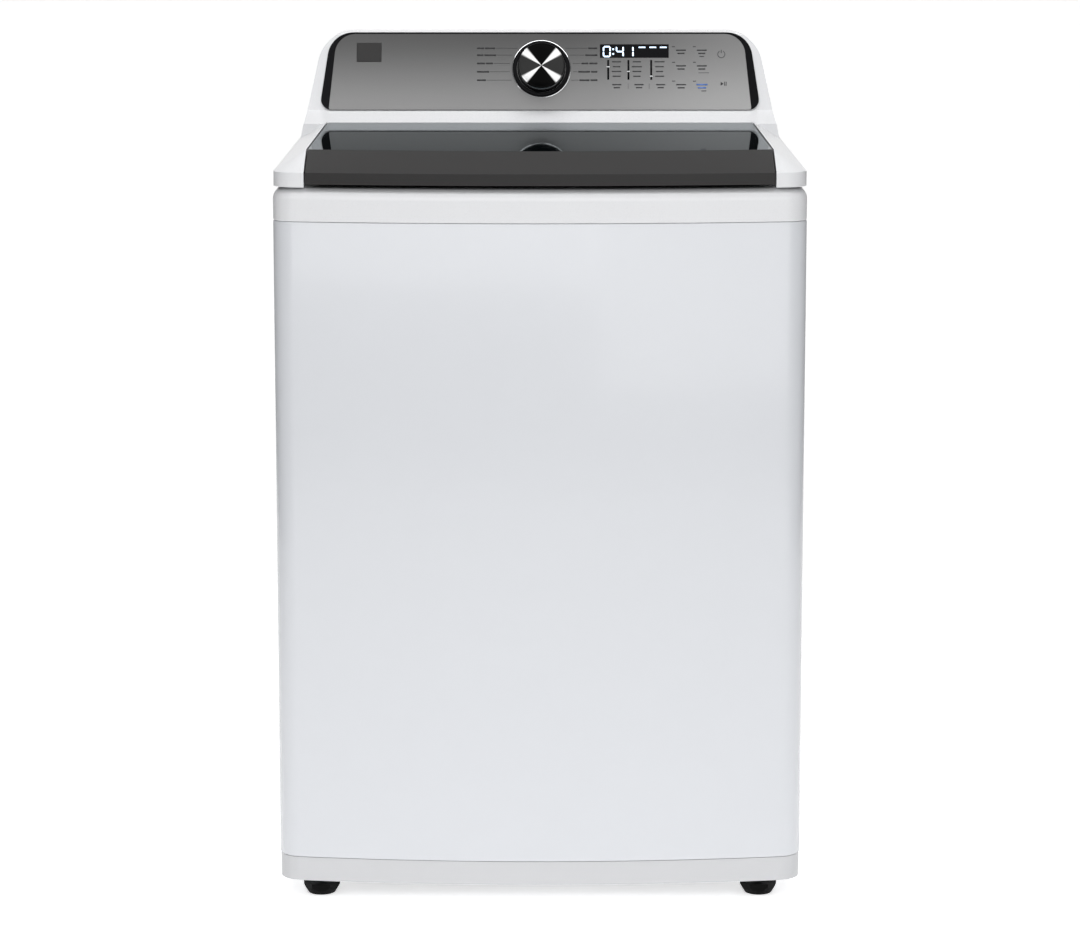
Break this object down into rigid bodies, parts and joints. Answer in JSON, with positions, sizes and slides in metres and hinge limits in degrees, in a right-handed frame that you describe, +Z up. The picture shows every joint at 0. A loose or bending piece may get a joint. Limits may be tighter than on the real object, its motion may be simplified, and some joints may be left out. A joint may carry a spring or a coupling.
{
  "type": "top load washing machine",
  "caption": "Full-size top load washer: bowed white cabinet, tinted glass lid, raised rear console with rotary selector, suspended tub with spinning basket and wash plate",
  "frame": {"origin": "centre of the footprint, at floor level under the levelling feet", "axes": "+Z up, front facing -Y, +X to the right seen from the front"},
  "size_m": [0.69, 0.735, 1.12],
  "materials": {
    "white_enamel": "smooth white baked enamel on steel sheet",
    "white_plastic": "glossy white moulded plastic",
    "dark_metal": "dark brushed metal finish",
    "black_gloss": "glossy black plastic",
    "tinted_glass": "dark blue-grey tinted safety glass",
    "black_plastic": "black moulded plastic",
    "grey_plastic": "pale grey moulded plastic",
    "rubber": "black rubber",
    "zinc_steel": "zinc-plated steel",
    "stainless": "perforated stainless steel",
    "cast_aluminium": "die-cast aluminium",
    "chrome": "bright plated metal",
    "board": "circuit board with parts"
  },
  "bodies": {
    "cabinet": {"base_frame": "white_plastic", "foot_lock_nuts": "zinc_steel", "cabinet_wrap": "white_enamel", "rear_panel": "zinc_steel", "cabinet_screws": "zinc_steel", "top_cover": "white_plastic", "console_deck": "white_plastic", "console_bezel": "black_gloss", "console_faceplate": "dark_metal", "display_window": "black_gloss", "badge": "black_gloss", "display_board": "board", "control_board": "board", "selector_surround": "black_gloss", "console_rear_cover": "zinc_steel", "hinge_brackets": "zinc_steel", "lid_bumpers": "rubber", "lid_lock": "black_plastic", "inlet_valve": "grey_plastic", "dispenser_housing": "grey_plastic", "inlet_hose": "rubber", "cord_gland": "black_plastic", "suspension_rods": "zinc_steel", "suspension_brackets": "zinc_steel", "suspension_springs": "zinc_steel", "drain_hose": "grey_plastic", "drain_outlet": "black_plastic", "pressure_sensor": "grey_plastic"},
    "lid": {"lid_trim": "dark_metal", "lid_glass": "tinted_glass", "lid_frame": "black_plastic", "lid_strike": "black_plastic"},
    "selector": {"selector_skirt": "chrome", "selector_cap": "chrome"},
    "drawer": {"dispenser_drawer": "grey_plastic"},
    "bolt": {"lock_bolt": "zinc_steel"},
    "foot_fl": {"levelling_foot_fl": "black_plastic"},
    "foot_fr": {"levelling_foot_fr": "black_plastic"},
    "foot_bl": {"levelling_foot_bl": "black_plastic"},
    "foot_br": {"levelling_foot_br": "black_plastic"},
    "tub": {"outer_tub": "grey_plastic", "tub_ring": "grey_plastic", "bearing_housing": "cast_aluminium", "tub_bearings": "zinc_steel", "water_seal": "rubber", "drive_motor": "zinc_steel", "drive_belt": "rubber", "clutch_actuator": "black_plastic", "drain_pump": "black_plastic", "sump_hose": "rubber"},
    "basket": {"basket_wall": "stainless", "basket_base": "cast_aluminium", "balance_ring": "grey_plastic", "spin_tube": "zinc_steel"},
    "agitator": {"wash_impeller": "grey_plastic", "shaft_fasteners": "zinc_steel", "drive_shaft": "zinc_steel", "driven_pulley": "cast_aluminium"},
    "motor_rotor": {"motor_pulley": "zinc_steel"},
    "pump_rotor": {"pump_impeller": "black_plastic"}
  },
  "joints": [
    {"name": "lid_hinge", "type": "hinge", "parent": "cabinet", "child": "lid", "pos_m": [0, 0.106, 0.981], "axis": [-1, 0, 0], "range_deg": [0, 98]},
    {"name": "selector_turn", "type": "hinge", "parent": "cabinet", "child": "selector", "pos_m": [0.002, 0.1874, 1.0669], "axis": [0, -0.9563, 0.2924], "continuous": true},
    {"name": "drawer_slide", "type": "slide", "parent": "cabinet", "child": "drawer", "axis": [0, -1, 0], "range_m": [0, 0.13]},
    {"name": "lock_bolt_slide", "type": "slide", "parent": "cabinet", "child": "bolt", "axis": [1, 0, 0], "range_m": [0, 0.012]},
    {"name": "tub_bounce", "type": "slide", "parent": "cabinet", "child": "tub", "axis": [0, 0, 1], "range_m": [-0.025, 0.012], "stiffness_N_per_m": 14000, "springref_m": 0.0282, "deforming": ["suspension_springs", "drain_hose"]},
    {"name": "basket_spin", "type": "hinge", "parent": "tub", "child": "basket", "pos_m": [0, 0, 0.29], "axis": [0, 0, 1], "continuous": true},
    {"name": "agitator_spin", "type": "hinge", "parent": "tub", "child": "agitator", "pos_m": [0, 0, 0.2], "axis": [0, 0, 1], "continuous": true},
    {"name": "motor_spin", "type": "hinge", "parent": "tub", "child": "motor_rotor", "pos_m": [0, 0.205, 0.123], "axis": [0, 0, 1], "continuous": true},
    {"name": "pump_spin", "type": "hinge", "parent": "tub", "child": "pump_rotor", "pos_m": [-0.15, -0.15, 0.17], "axis": [0, 0, 1], "continuous": true},
    {"name": "foot_fl_height", "type": "slide", "parent": "cabinet", "child": "foot_fl", "axis": [0, 0, 1], "range_m": [-0.015, 0.008]},
    {"name": "foot_fr_height", "type": "slide", "parent": "cabinet", "child": "foot_fr", "axis": [0, 0, 1], "range_m": [-0.015, 0.008]},
    {"name": "foot_bl_height", "type": "slide", "parent": "cabinet", "child": "foot_bl", "axis": [0, 0, 1], "range_m": [-0.015, 0.008]},
    {"name": "foot_br_height", "type": "slide", "parent": "cabinet", "child": "foot_br", "axis": [0, 0, 1], "range_m": [-0.015, 0.008]}
  ],
  "couplings": [
    {"joint": "motor_spin", "follows": "agitator_spin", "ratio": 4.5769}
  ]
}
